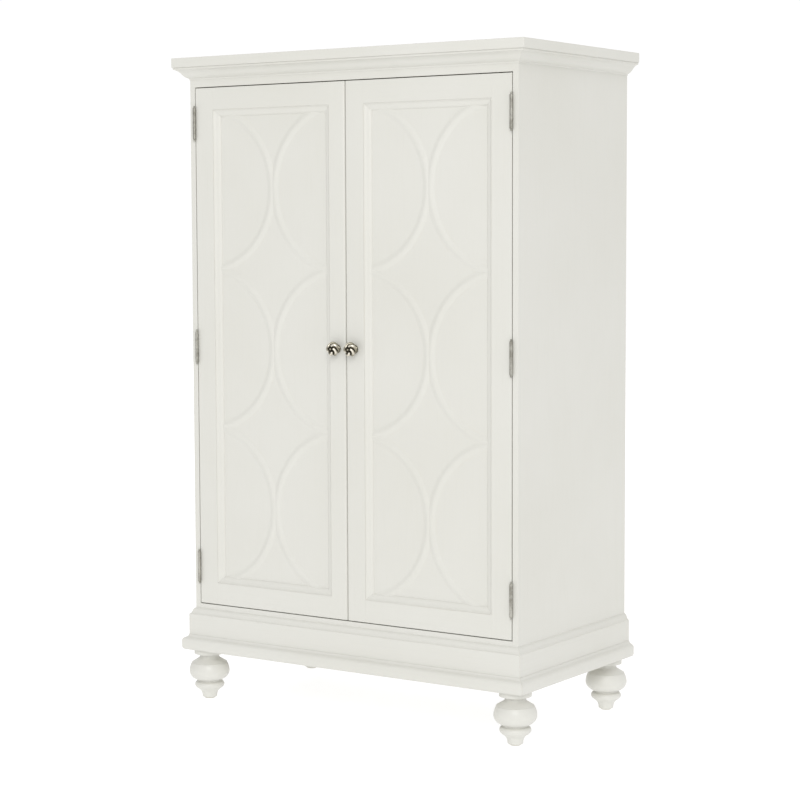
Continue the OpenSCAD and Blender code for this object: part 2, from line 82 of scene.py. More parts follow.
def ogee(start, end, swing, steps=18):
    """Points of an S-shaped curve that swings out by swing on both sides of the line start to end."""
    run = Vector(end) - Vector(start)
    across = Vector((run.y, -run.x)).normalized()
    points = []
    for i in range(steps + 1):
        share = i / steps
        point = Vector(start) + run * share + across * swing * math.sin(2 * math.pi * share)
        points.append(tuple(point))
    return points


def softened(points, radius, closed=True, steps=4, least_turn=24):
    """The same outline with each corner that turns by more than least_turn degrees rounded off."""
    result = []
    count = len(points)
    for i, point in enumerate(points):
        corner = Vector(point)
        if not closed and i in (0, count - 1):
            result.append(tuple(corner))
            continue
        before = Vector(points[i - 1]) - corner
        after = Vector(points[(i + 1) % count]) - corner
        if min(before.length, after.length) < NO_LENGTH or math.degrees(before.angle(-after)) < least_turn:
            result.append(tuple(corner))
            continue
        cut = min(radius, 0.45 * before.length, 0.45 * after.length)
        first = corner + before.normalized() * cut
        last = corner + after.normalized() * cut
        for step in range(steps + 1):
            t = step / steps
            result.append(tuple(first * (1 - t) ** 2 + corner * 2 * t * (1 - t) + last * t * t))
    return result


def in_metres(points):
    """Points in millimetres turned into metres."""
    return [(a * MM, b * MM) for a, b in points]


# ---- Mesh building ----


def add_rings(bm, rings, capped=True):
    """Skin a row of closed rings of points, all with the same number of points."""
    rows = [[bm.verts.new(point) for point in ring] for ring in rings]
    count = len(rows[0])
    for lower, upper in zip(rows, rows[1:]):
        for i in range(count):
            j = (i + 1) % count
            bm.faces.new((lower[i], lower[j], upper[j], upper[i]))
    if capped:
        bm.faces.new(list(reversed(rows[0])))
        bm.faces.new(rows[-1])


def add_lathe(bm, outline, place, segments=96):
    """Turn an outline of (radius, height) points about +Z, then move it with the matrix place."""
    rows = []
    for radius, height in outline:
        if radius < NO_LENGTH:
            rows.append([bm.verts.new(place @ Vector((0, 0, height)))])
            continue
        row = []
        for i in range(segments):
            angle = 2 * math.pi * i / segments
            spot = Vector((radius * math.cos(angle), radius * math.sin(angle), height))
            row.append(bm.verts.new(place @ spot))
        rows.append(row)
    for lower, upper in zip(rows, rows[1:]):
        for i in range(segments):
            j = (i + 1) % segments
            around = ((lower, i), (lower, j), (upper, j), (upper, i))
            # A point on the axis is met twice, and is kept once
            corners = list(dict.fromkeys(ring[k % len(ring)] for ring, k in around))
            if len(corners) > 2:
                bm.faces.new(corners)


def add_tube(bm, centres, radii, outward, sides):
    """A round rod through centres, with a radius at each; outward is where each ring's first point lies."""
    rings = []
    for i, centre in enumerate(centres):
        ahead = centres[min(i + 1, len(centres) - 1)] - centres[max(i - 1, 0)]
        first = outward[i].normalized()
        second = ahead.cross(first).normalized()
        first = second.cross(ahead).normalized()
        ring = []
        for k in range(sides):
            angle = 2 * math.pi * k / sides
            ring.append(centre + (first * math.cos(angle) + second * math.sin(angle)) * radii[i])
        rings.append(ring)
    add_rings(bm, rings)


def make_piece(name, bm, material, body, slot, *replaced, sharp_angle=32):
    """Turn a bmesh into a smooth-shaded piece that rides on a body and stands for CAD nodes."""
    bmesh.ops.recalc_face_normals(bm, faces=bm.faces)
    for edge in bm.edges:
        edge.smooth = len(edge.link_faces) == 2 and edge.calc_face_angle() < math.radians(sharp_angle)
    for face in bm.faces:
        face.smooth = True
    mesh = bpy.data.meshes.new(name)
    bm.to_mesh(mesh)
    bm.free()
    mesh.materials.append(material)
    piece = bpy.data.objects.new(name, mesh)
    bpy.context.scene.collection.objects.link(piece)
    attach(piece, body)
    if replaced:
        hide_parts(*replaced)
    return piece


def finish_node(name, material, radius):
    """Give a CAD node its material, and round its sharp edges by radius millimetres."""
    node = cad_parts[name]
    mesh = node.data
    custom = mesh.attributes.get("custom_normal")
    if custom:
        mesh.attributes.remove(custom)
    mesh.polygons.foreach_set("use_smooth", [True] * len(mesh.polygons))
    mesh.materials.clear()
    mesh.materials.append(material)
    weld = node.modifiers.new("joined_faces", "WELD")
    weld.merge_threshold = 0.01 * MM
    edges = node.modifiers.new("rounded_edges", "BEVEL")
    edges.width = radius * MM
    edges.segments = 3
    edges.limit_method = "ANGLE"
    edges.angle_limit = math.radians(35)
    edges.harden_normals = True


# ---- Materials ----


class Shader:
    """A material with one Principled surface, and short calls that add and join its nodes."""

    def __init__(self, name, **surface):
        self.material = bpy.data.materials.new(name)
        self.material.use_nodes = True
        self.tree = self.material.node_tree
        self.surface = self.tree.nodes["Principled BSDF"]
        self.set(self.surface, surface)
        self.place = self.node("TexCoord").outputs["Object"]

    def set(self, node, values):
        for key, value in values.items():
            socket = node.inputs[key.replace("_", " ")] if isinstance(key, str) else node.inputs[key]
            if isinstance(value, bpy.types.NodeSocket):
                self.tree.links.new(value, socket)
            else:
                socket.default_value = value

    def node(self, kind, inputs=None, **settings):
        node = self.tree.nodes.new("ShaderNode" + kind)
        for key, value in settings.items():
            setattr(node, key, value)
        self.set(node, inputs or {})
        return node

    def noise(self, scale, detail=3.0, stretch=(1, 1, 1), roughness=0.5, shift=(0, 0, 0)):
        """Noise from 0 to 1, in cycles per metre; stretch gives its frequency along each axis."""
        place = self.node("Mapping", {"Vector": self.place, "Scale": stretch, "Location": shift})
        inputs = {"Vector": place.outputs[0], "Scale": scale, "Detail": detail, "Roughness": roughness}
        return self.node("TexNoise", inputs).outputs["Fac"]

    def span(self, value, low, high, to_low=0.0, to_high=1.0):
        """The value's range low to high carried to the range to_low to to_high, and held there."""
        inputs = {"Value": value, "From Min": low, "From Max": high, "To Min": to_low, "To Max": to_high}
        return self.node("MapRange", inputs).outputs[0]

    def math(self, kind, first, second):
        return self.node("Math", {0: first, 1: second}, operation=kind).outputs[0]

    def mix(self, share, first, second, kind="MIX"):
        """Colours mixed by share."""
        node = self.node("Mix", {0: share}, data_type="RGBA", blend_type=kind)
        self.set(node, {6: first, 7: second})
        return node.outputs[2]

    def edges(self, radius, low=0.015, high=0.16):
        """1 along edges and corners within about radius millimetres, 0 on flat stretches."""
        bevel = self.node("Bevel", {"Radius": radius * MM}, samples=4)
        true_normal = self.node("NewGeometry").outputs["Normal"]
        dot = self.node("VectorMath", {0: bevel.outputs[0], 1: true_normal}, operation="DOT_PRODUCT")
        return self.span(self.math("SUBTRACT", 1.0, dot.outputs["Value"]), low, high)

    def colour(self, value):
        self.set(self.surface, {"Base Color": value})

    def rough(self, value):
        self.set(self.surface, {"Roughness": value})

    def bump(self, layers):
        """Bumps on top of each other; each layer is (height, depth in millimetres)."""
        normal = None
        for height, depth in layers:
            node = self.node("Bump", {"Height": height, "Distance": depth * MM, "Strength": 1.0})
            if normal:
                self.set(node, {"Normal": normal})
            normal = node.outputs[0]
        self.set(self.surface, {"Normal": normal})


def rgb(red, green, blue):
    return (red, green, blue, 1.0)


def scaled(tone, *shares):
    """A tone made darker or lighter, by one share or by one each for red, green and blue."""
    if len(shares) == 1:
        shares *= 3
    return rgb(*(min(1.0, share * part) for share, part in zip(shares, tone)))


GRAIN = {"x": (0.03, 1, 1), "y": (1, 0.03, 1), "z": (1, 1, 0.03)}


def painted_wood(name, grain, paint=(0.657, 0.651, 0.607), worn=(0.66, 0.60, 0.47), wear=0.5, shine=0.40):
    """Satin paint brushed on along the grain, a little uneven, and rubbed thin in places along the edges."""
    shader = Shader(name)
    along = GRAIN[grain]
    clouds = shader.noise(2.6, 3, shift=(3.1, 1.7, 0.4))
    patches = shader.noise(14, 4)
    strokes = shader.noise(330, 3, along, 0.55)
    fibres = shader.noise(1100, 2, along, 0.6)
    light = scaled(paint, 1.015)
    dark = scaled(paint, 0.982, 0.980, 0.968)
    tone = shader.mix(shader.span(clouds, 0.32, 0.68), dark, light)
    streak = scaled(paint, 0.93, 0.925, 0.89)
    tone = shader.mix(shader.span(strokes, 0.55, 0.8, 0, 0.30), tone, streak)
    edge = shader.edges(1.6)
    rubbed = shader.math("MULTIPLY", edge, shader.span(patches, 0.50, 0.68))
    thin = shader.math("MULTIPLY", shader.span(strokes, 0.35, 0.65, 0.35, 1.0), wear)
    tone = shader.mix(shader.math("MULTIPLY", rubbed, thin), tone, rgb(*worn))
    shader.colour(tone)
    sheen = shader.span(patches, 0.3, 0.7, shine - 0.05, shine + 0.07)
    shader.rough(shader.math("ADD", sheen, shader.span(strokes, 0.3, 0.7, -0.03, 0.04)))
    peel = shader.noise(420, 2)
    shader.bump([(clouds, 0.35), (peel, 0.035), (strokes, 0.05), (fibres, 0.018)])
    return shader.material


def bare_board(name, grain, light=(0.58, 0.44, 0.28), dark=(0.43, 0.295, 0.165)):
    """Unpainted veneer: growth rings are the level lines of a smooth field, each darker towards its end."""
    shader = Shader(name)
    along = {"x": (0.10, 1, 1), "z": (1, 1, 0.10)}[grain]
    field = shader.noise(2.8, 1.5, along, 0.35, shift=(0.7, 0.2, 0.9))
    ripple = shader.noise(40, 2, along)
    age = shader.math("ADD", shader.math("MULTIPLY", field, 52.0), shader.math("MULTIPLY", ripple, 0.7))
    ring = shader.math("FRACT", age, 0.0)
    late = shader.math("MULTIPLY", shader.span(ring, 0.25, 0.92), shader.span(ring, 0.99, 0.93))
    clouds = shader.noise(9, 3, along)
    pores = shader.noise(700, 2, GRAIN[grain], 0.6)
    figure = shader.math("MULTIPLY", late, shader.span(clouds, 0.3, 0.7, 0.45, 0.95))
    tone = shader.mix(figure, rgb(*light), rgb(*dark))
    pore_share = shader.span(pores, 0.56, 0.75, 0, 0.40)
    tone = shader.mix(pore_share, tone, scaled(dark, 0.6))
    tone = shader.mix(shader.math("MULTIPLY", shader.edges(1.2), 0.35), tone, scaled(light, 1.25))
    shader.colour(tone)
    shader.rough(shader.span(late, 0, 1, 0.72, 0.60))
    shader.bump([(late, 0.04), (pores, 0.05)])
    return shader.material


def metal(name, tone, tarnish, polish=0.24, dirt=0.5, scale=900, brushed=(1, 1, 1)):
    """Plated metal with tarnish in patches, fine scratches and edges rubbed bright."""
    shader = Shader(name, Metallic=1.0)
    patches = shader.noise(scale * 0.25, 4)
    scratches = shader.noise(scale * 3, 3, brushed)
    tarnished = shader.span(patches, 0.42, 0.66, 0, dirt)
    mixed = shader.mix(tarnished, rgb(*tone), rgb(*tarnish))
    bright = scaled(tone, 1.18)
    shader.colour(shader.mix(shader.math("MULTIPLY", shader.edges(0.5), 0.6), mixed, bright))
    rough = shader.span(patches, 0.3, 0.7, polish, polish + 0.16)
    shader.rough(shader.math("ADD", rough, shader.span(scratches, 0.35, 0.65, -0.04, 0.06)))
    shader.bump([(scratches, 0.006), (patches, 0.02)])
    return shader.material


def knob_metal():
    """Champagne nickel: polish on the crests, patina and painted shade in the hollows, and painted shade on
    the knob's far side.
    """
    shader = Shader("knob_metal", Metallic=1.0)
    relief_and_painted_shade = shader.node("Attribute", attribute_name="relief_and_painted_shade").outputs["Fac"]
    specks = shader.noise(1500, 4)
    patches = shader.noise(260, 3)
    polished = shader.mix(shader.span(patches, 0.35, 0.65), rgb(0.92, 0.88, 0.78), rgb(0.62, 0.57, 0.48))
    dull = shader.mix(specks, rgb(0.27, 0.25, 0.19), rgb(0.42, 0.39, 0.31))
    # Near-black in the hollows: patina, and painted shade
    black = shader.mix(specks, rgb(0.015, 0.013, 0.009), rgb(0.060, 0.052, 0.036))
    rise = shader.math("ADD", relief_and_painted_shade, shader.span(patches, 0.3, 0.7, -0.12, 0.12))
    # Tone of the low places, patina with painted shade
    worn = shader.mix(shader.span(rise, 0.10, 0.45), black, dull)
    # Polished crests, bright only where the painted shade lets them be
    shader.colour(shader.mix(shader.span(rise, 0.62, 0.92), worn, polished))
    shader.rough(shader.span(rise, 0.2, 0.8, 0.50, 0.20))
    shader.bump([(specks, 0.02), (patches, 0.05)])
    return shader.material


def moulded_plastic(name, tone):
    """Moulded plastic, a little uneven in tone, with a fine spark-eroded texture."""
    shader = Shader(name)
    texture = shader.noise(2600, 3)
    flow = shader.noise(60, 3)
    shade = scaled(tone, 0.9, 0.9, 0.86)
    shader.colour(shader.mix(shader.span(flow, 0.35, 0.65), rgb(*tone), shade))
    shader.rough(shader.span(texture, 0.3, 0.7, 0.42, 0.56))
    shader.bump([(texture, 0.02), (flow, 0.05)])
    return shader.material


PAINT_UP = painted_wood("paint_upright", "z")
PAINT_WIDE = painted_wood("paint_crosswise", "x")
PAINT_DEEP = painted_wood("paint_depthwise", "y")
PAINT_TURNED = painted_wood("paint_turned", "z", wear=0.6, shine=0.36)
INSIDE = {"paint": (0.62, 0.61, 0.56), "wear": 0.2, "shine": 0.50}
INNER_WIDE = painted_wood("inner_paint_crosswise", "x", **INSIDE)
WOOD_UP = bare_board("bare_wood_upright", "z")
WOOD_WIDE = bare_board("bare_wood_crosswise", "x", light=(0.62, 0.47, 0.30), dark=(0.46, 0.32, 0.185))
NICKEL = metal("hinge_nickel", (0.46, 0.45, 0.405), (0.22, 0.21, 0.175), polish=0.26, dirt=0.7, scale=260)
CHROME = metal("rod_chrome", (0.70, 0.70, 0.70), (0.50, 0.50, 0.50), 0.14, 0.3, 500, (0.02, 1, 1))
ZINC = metal("zinc_plate", (0.62, 0.63, 0.64), (0.40, 0.41, 0.42), polish=0.28, dirt=0.5)
KNOB = knob_metal()
CATCH_PLASTIC = moulded_plastic("catch_plastic", (0.80, 0.79, 0.75))
GLIDE_PLASTIC = moulded_plastic("glide_plastic", (0.70, 0.68, 0.62))


# ---- Mouldings along the case ----

# How far the corners of each outline are rounded
ROUNDING = {
    "crown": 0.7,
    "plinth": 0.6,
    "base_frame": 0.8,
    "foot": 0.6,
    "panel": 0.5,
    "knob": 0.35,
    "pin": 0.25,
}
# Small step where a curve meets a flat face
LIP = 1
# Crown: height of its flat edge, the step in under the edge, and the thin bead at the foot (out, height)
CROWN_EDGE_H = 5
CROWN_QUIRK = 2.5
CROWN_BEAD = (1.5, 3)
CROWN_SWING = 1.4
# Plinth: height of the curve at its top
PLINTH_CURVE_H = 17
PLINTH_SWING = 1.2
# Base frame: height of the slope on its top, and the rounding below its nose (across, up)
BASE_SLOPE_H = 14
BASE_NOSE = (8, 9)
BASE_SWING = 1.2


def run_moulding(name, outline, side, material, node):
    """A mitred length along the front (side 0) or along one side (-1 or 1).

    The outline holds (out from the case, height) points in metres.
    """
    bm = bmesh.new()
    rings = [[], []]
    for out, height in outline:
        front = CASE_FRONT - out
        if side == 0:
            reach = CASE_HALF + out - MITRE_GAP
            rings[0].append(Vector((-reach, front, height)))
            rings[1].append(Vector((reach, front, height)))
        else:
            across = side * (CASE_HALF + out)
            rings[0].append(Vector((across, front + MITRE_GAP, height)))
            rings[1].append(Vector((across, CASE_BACK, height)))
    add_rings(bm, rings)
    make_piece(name, bm, material, "cabinet", "painted_wood", node)


def moulding_set(kind, outline):
    """The front, left and right lengths of one moulding, from its outline in millimetres."""
    outline = in_metres(softened(outline, ROUNDING[kind]))
    run_moulding(kind + "_front_run", outline, 0, PAINT_WIDE, kind + "_front")
    run_moulding(kind + "_left_run", outline, -1, PAINT_DEEP, kind + "_left")
    run_moulding(kind + "_right_run", outline, 1, PAINT_DEEP, kind + "_right")


def make_crown():
    """Flat edge under the top board, an S-shaped slope and a thin bead at its foot."""
    low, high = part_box("crown_front")
    out = (CASE_FRONT - low.y) / MM
    top = high.z / MM
    bottom = low.z / MM
    edge = top - CROWN_EDGE_H
    bead_out, bead_h = CROWN_BEAD
    outline = [(0, bottom), (bead_out, bottom), (bead_out, bottom + bead_h)]
    outline += ogee((bead_out + LIP / 2, bottom + bead_h + LIP), (out - CROWN_QUIRK, edge), CROWN_SWING)
    outline += [(out, edge), (out, top), (0, top)]
    moulding_set("crown", outline)


def make_plinth():
    """Boards with an S-shaped top edge that thins out against the case."""
    low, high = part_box("plinth_front")
    thick = (CASE_FRONT - low.y) / MM
    bottom = low.z / MM
    top = high.z / MM
    outline = [(0, bottom), (thick, bottom)]
    outline += ogee((thick, top - PLINTH_CURVE_H), (LIP, top - LIP), -PLINTH_SWING)
    outline += [(0, top)]
    moulding_set("plinth", outline)


def make_base_frame():
    """Boards that stand out below the plinth: rounded below, a flat nose, and an S-shaped slope above it."""
    low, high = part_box("base_frame_front")
    out = (CASE_FRONT - low.y) / MM
    inner = (CASE_FRONT - high.y) / MM
    bottom = low.z / MM
    top = high.z / MM
    rim = (CASE_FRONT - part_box("plinth_front")[0].y) / MM + LIP
    nose_in, nose_up = BASE_NOSE
    outline = [(inner, bottom)]
    outline += arc((out - nose_in, bottom + nose_up), nose_in, nose_up, -90, 0)
    outline += ogee((out, top - BASE_SLOPE_H), (rim, top - LIP), BASE_SWING)
    outline += [(rim, top), (inner, top)]
    moulding_set("base_frame", outline)


# ---- Feet ----

# Turned foot, from the top: radii and heights above the floor, and radii of the arcs (across, up)
PLATE_R = 39
PLATE_T = 12.5
UPPER_NECK_R = 24.5
UPPER_NECK_H = 3.5
UPPER_HOLLOW = (10, 11)
SHOULDER_LOW = (45.5, 95)
# Line cut in under the shoulder: its outer and inner point, as seen from the shoulder's edge
SHOULDER_CUT = ((0.2, -1.3), (-1.4, -0.6))
BALL_R = 52
BALL_IN = 24
BALL_Z = 72
BALL_BELOW = 24
BALL_ABOVE = 34
LOWER_NECK_R = 30
LOWER_NECK_LOW = 45.5
LOWER_NECK_HIGH = 48
RING_CORE_R = 31
RING_Z = 36.5
RING_ARC = (7.2, 8)
TOE_R = 19
TOE_CHAMFER = (1.5, 2)
TOE_FLARE = (22, 23)
TOE_FLARE_Z = 6
FOOT_SEGMENTS = 128


def foot_outline(bottom, top):
    """The foot's turned outline: toe, hollow flare, ring, neck, ball, cut line, shoulder, neck and plate."""
    plate_low = top - PLATE_T
    points = [(0, bottom), (TOE_R - TOE_CHAMFER[0], bottom), (TOE_R, bottom + TOE_CHAMFER[1])]
    points += arc((TOE_R + TOE_FLARE[0], TOE_FLARE_Z), *TOE_FLARE, 180, 112)
    points += arc((RING_CORE_R, RING_Z), *RING_ARC, -75, 72, 18)
    points += [(LOWER_NECK_R, LOWER_NECK_LOW), (LOWER_NECK_R, LOWER_NECK_HIGH)]
    points += arc((BALL_IN, BALL_Z), BALL_R - BALL_IN, BALL_BELOW, -76, 0, 18)
    points += arc((BALL_IN, BALL_Z), BALL_R - BALL_IN, BALL_ABOVE, 4, 38, 12)
    shoulder_r, shoulder_z = SHOULDER_LOW
    points += [(shoulder_r + out, shoulder_z + up) for out, up in SHOULDER_CUT]
    points += [SHOULDER_LOW]
    points += arc((UPPER_NECK_R + UPPER_HOLLOW[0], plate_low - UPPER_NECK_H), *UPPER_HOLLOW, 235, 180)
    points += [(UPPER_NECK_R, plate_low), (PLATE_R, plate_low), (PLATE_R, top), (0, top)]
    return points


def make_feet():
    """Four turned feet."""
    for end in ("front", "back"):
        for side in ("left", "right"):
            node = f"foot_{end}_{side}"
            low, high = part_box(node)
            middle = (low + high) / 2
            outline = softened(foot_outline(low.z / MM, high.z / MM), ROUNDING["foot"], closed=False)
            bm = bmesh.new()
            place = Matrix.Translation((middle.x, middle.y, 0))
            add_lathe(bm, in_metres(outline), place, FOOT_SEGMENTS)
            make_piece(f"turned_{node}", bm, PAINT_TURNED, "cabinet", "painted_wood", node)


# ---- Doors ----

# Panel moulding: its width, its height at the panel, and the swing of its curve
MOULDING_W = 18
MOULDING_TOE = 0.3
MOULDING_SWING = 1.0
# Curved beads: width, height, height of their thin edges, and how deep they run into the panel
BEAD_W = 28
BEAD_H = 2.8
BEAD_EDGE = 0.05
BEAD_ROOT = 0.2
# Distance from the panel's middle to the middle of a bead, where the arcs come closest
BEAD_APART = 4.5
BEAD_ROWS = 3
# How far the radius of the arcs is over half of a row's height
BEAD_OVER = 1
# Degrees between the sections of an arc, and the sections on each side of its middle
BEAD_STEP = 1.5
BEAD_STEPS = 57
# How far the beads run in under the panel moulding
BEAD_TUCK = 6


def make_panel_moulding(door):
    """Four mitred lengths round the panel, high at the door's frame and thin at the panel."""
    node = door + "_panel_moulding"
    low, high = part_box(node)
    height = (high.y - low.y) / MM
    outline = [(0, 0), (0, height), (LIP, height)]
    outline += ogee((LIP, height), (MOULDING_W, MOULDING_TOE), MOULDING_SWING)
    outline += [(MOULDING_W, 0)]
    outline = in_metres(softened(outline, ROUNDING["panel"]))
    bm = bmesh.new()
    for i in range(4):
        rings = [[], []]
        for end in (0, 1):
            for inward, rise in outline:
                corners = [
                    Vector((low.x + inward, high.y - rise, low.z + inward)),
                    Vector((high.x - inward, high.y - rise, low.z + inward)),
                    Vector((high.x - inward, high.y - rise, high.z - inward)),
                    Vector((low.x + inward, high.y - rise, high.z - inward)),
                ]
                here = corners[(i + end) % 4]
                other = corners[(i + 1 - end) % 4]
                rings[end].append(here + (other - here).normalized() * MITRE_GAP)
        add_rings(bm, rings)
    make_piece(door + "_panel_moulding_run", bm, PAINT_UP, door, "painted_wood", node)


def cut_bead(bm, keep_side_of):
    """Cut a bead by planes, each (point, normal), keep what lies behind them and close the cuts."""
    for point, normal in keep_side_of:
        everything = bm.verts[:] + bm.edges[:] + bm.faces[:]
        bmesh.ops.bisect_plane(bm, geom=everything, plane_co=point, plane_no=normal, clear_outer=True)
        open_edges = [edge for edge in bm.edges if edge.is_boundary]
        if open_edges:
            bmesh.ops.holes_fill(bm, edges=open_edges)


def bead_section(steps=24):
    """A bead's cross-section: a low hump whose sides run out softly onto the panel."""
    half = BEAD_W / 2
    points = [(-half, -BEAD_ROOT), (half, -BEAD_ROOT)]
    for i in range(steps + 1):
        across = half * (1 - 2 * i / steps)
        share = 1 - abs(across) / half
        points.append((across, BEAD_EDGE + (BEAD_H - BEAD_EDGE) * share * share * (3 - 2 * share)))
    return points


def make_lattice(door):
    """Three rows of two facing arcs, each arc a bead cut where it meets its neighbours."""
    low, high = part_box(door + "_panel_moulding")
    middle = (low + high) / 2
    pitch = (high.z - low.z) / BEAD_ROWS
    ring_r = pitch / 2 + BEAD_OVER * MM
    covered = (MOULDING_W - BEAD_TUCK) * MM
    reach = Vector((high.x - low.x, 0, high.z - low.z)) / 2 - Vector((covered, 0, covered))
    section = in_metres(bead_section())
    whole = bmesh.new()
    for row in (-1, 0, 1):
        row_z = middle.z + row * pitch
        for side in (-1, 1):
            centre_x = middle.x + side * (ring_r + BEAD_APART * MM)
            rings = []
            for step in range(-BEAD_STEPS, BEAD_STEPS + 1):
                angle = math.radians(BEAD_STEP * step)
                ring = []
                for across, rise in section:
                    radius = ring_r + across
                    x = centre_x - side * radius * math.cos(angle)
                    ring.append(Vector((x, high.y - rise, row_z + radius * math.sin(angle))))
                rings.append(ring)
            bead = bmesh.new()
            add_rings(bead, rings)
            cut_bead(bead, [
                ((middle.x, 0, 0), (-side, 0, 0)),
                ((middle.x + side * reach.x, 0, 0), (side, 0, 0)),
                ((0, 0, row_z - pitch / 2), (0, 0, -1)),
                ((0, 0, row_z + pitch / 2), (0, 0, 1)),
                ((0, 0, middle.z - reach.z), (0, 0, -1)),
                ((0, 0, middle.z + reach.z), (0, 0, 1)),
            ])
            part = bpy.data.meshes.new("bead")
            bead.to_mesh(part)
            bead.free()
            whole.from_mesh(part)
            bpy.data.meshes.remove(part)
    make_piece(door + "_lattice_beads", whole, PAINT_UP, door, "painted_wood", door + "_lattice")


# Knob: half the depth of its round head
KNOB_HALF_DEPTH = 12.5
# Its base disc, the neck that flares out of the disc, the ring at the neck's top, and the peg at the tip
KNOB_DISC_R = 11
KNOB_DISC_T = 1.5
KNOB_NECK_R = 7
KNOB_FLARE_TOP = 5
KNOB_NECK_TOP = 7
KNOB_RING_Z = 8.2
KNOB_RING_ARC = (1.4, 1.2)
KNOB_BASE_TOP = 9.6
KNOB_PEG_R = 2.6
# Its core, coloured near-black for patina and painted shade: where it starts, and how far it stays inside
# the head, across and up, in strand radii
KNOB_CORE_LOW = 8
KNOB_CORE_IN = (1.45, 1.1)
# Twisted strands round the core
STRANDS = 5
STRAND_R = 3.9
STRAND_TWIST = 125
# Turn of the first strand about the knob's axis
STRAND_START = 28
STRAND_SIDES = 14
STRAND_STEPS = 40
# Share of a strand's radius that doesn't taper away from the waist, and how fast the rest does
STRAND_THIN = 0.3
STRAND_TAPER = 0.9
# The strands run from behind the knob's waist to the rim of a hollow at its tip, in degrees
STRAND_SPAN = (-62, 64)
# Painted shade: a strand's colour turns dark at this many degrees behind the waist, and bright as far in
# front of it
STRAND_SHADE_FADE = 25


def knob_turnings(radius, length, waist):
    """Outlines of the knob's base, of the peg at its tip and of its core."""
    flare_in = KNOB_DISC_R - KNOB_NECK_R
    flare_h = KNOB_FLARE_TOP - KNOB_DISC_T
    base = [(0, 0), (KNOB_DISC_R, 0), (KNOB_DISC_R, KNOB_DISC_T)]
    base += arc((KNOB_DISC_R, KNOB_FLARE_TOP), flare_in, flare_h, -90, -180) + [(KNOB_NECK_R, KNOB_NECK_TOP)]
    base += arc((KNOB_NECK_R, KNOB_RING_Z), *KNOB_RING_ARC, -80, 80, 8) + [(0, KNOB_BASE_TOP)]
    peg = [(0, waist)] + arc((0, length - KNOB_PEG_R), KNOB_PEG_R, KNOB_PEG_R, 0, 90, 10)
    core_r = radius - KNOB_CORE_IN[0] * STRAND_R
    core_up = KNOB_HALF_DEPTH - KNOB_CORE_IN[1] * STRAND_R
    core = [(0, KNOB_CORE_LOW)] + arc((0, waist), core_r, core_up, -70, 55, 24) + [(0, waist + 1)]
    return softened(base, ROUNDING["knob"], closed=False), peg, core


def strand_path(strand, radius, waist, place):
    """Centres, radii and outward directions along one strand, and the painted light and shade at each place
    on it.
    """
    centres, radii, outward, painted_light_along = [], [], [], []
    for i in range(STRAND_STEPS + 1):
        share = i / STRAND_STEPS
        polar = math.radians(STRAND_SPAN[0] + share * (STRAND_SPAN[1] - STRAND_SPAN[0]))
        turn = math.radians(STRAND_START + 360 * strand / STRANDS + STRAND_TWIST * share)
        thick = STRAND_R * (STRAND_THIN + (1 - STRAND_THIN) * math.cos(STRAND_TAPER * polar))
        reach = (radius - thick) * math.cos(polar)
        rise = waist + (KNOB_HALF_DEPTH - thick) * math.sin(polar)
        point = Vector((reach * math.cos(turn), reach * math.sin(turn), rise)) * MM
        level = math.cos(polar)
        direction = Vector((level * math.cos(turn), level * math.sin(turn), math.sin(polar)))
        centres.append(place @ point)
        radii.append(thick * MM)
        outward.append(place.to_3x3() @ direction)
        # Painted shade: darker behind the waist, where the knob's far side is in shade
        painted_light_along.append(min(1, max(0, 0.5 + math.degrees(polar) / (2 * STRAND_SHADE_FADE))))
    return centres, radii, outward, painted_light_along


def make_knob(door):
    """A knob of twisted strands over a core coloured near-black for patina and painted shade, with a turned
    base and a peg in the hollow of its tip.
    """
    node = door + "_knob"
    low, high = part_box(node)
    radius = (high.x - low.x) / 2 / MM
    length = (high.y - low.y) / MM
    waist = length - KNOB_HALF_DEPTH
    place = Matrix.Translation(((low.x + high.x) / 2, high.y, (low.z + high.z) / 2))
    place = place @ Matrix.Rotation(math.pi / 2, 4, "X")
    base, peg, core = knob_turnings(radius, length, waist)
    bm = bmesh.new()
    add_lathe(bm, in_metres(base), place, 64)
    add_lathe(bm, in_metres(peg), place, 32)
    core_start = len(bm.verts)
    add_lathe(bm, in_metres(core), place, 64)
    strand_start = len(bm.verts)
    painted_light_all = []
    for strand in range(STRANDS):
        centres, radii, outward, painted_light_along = strand_path(strand, radius, waist, place)
        painted_light_all += painted_light_along
        add_tube(bm, centres, radii, outward, STRAND_SIDES)

    # How far each point stands out, times painted shade behind the knob's waist; the metal's colour follows
    # it
    relief_and_painted_shade = bm.verts.layers.float.new("relief_and_painted_shade")
    bm.verts.ensure_lookup_table()
    for index, vert in enumerate(bm.verts):
        if index >= strand_start:
            ring, side = divmod(index - strand_start, STRAND_SIDES)
            # Outer side of a strand light, inner side dark: polish and patina, with painted shade between
            # the strands
            crest = 0.5 + 0.5 * math.cos(2 * math.pi * side / STRAND_SIDES)
            vert[relief_and_painted_shade] = crest * (0.5 + 0.5 * painted_light_all[ring])
        # The core stays darkest: patina and painted shade in the hollows
        elif index >= core_start:
            vert[relief_and_painted_shade] = 0.0
        else:
            vert[relief_and_painted_shade] = 0.6
    make_piece(door + "_knob_twisted", bm, KNOB, door, "knob_metal", node)


# ---- Hinges ----

BARREL_R = 4
HINGE_H = 76
HINGE_LEVELS = (-1, 0, 1)
PIN_R = 2
# Finial: height of its collar, its neck (in from the barrel, height), and its bulb's radius and height
FINIAL_COLLAR_H = 1.2
FINIAL_NECK = (1.3, 2)
FINIAL_BULB_R = 2.5
FINIAL_BULB_Z = 4.2


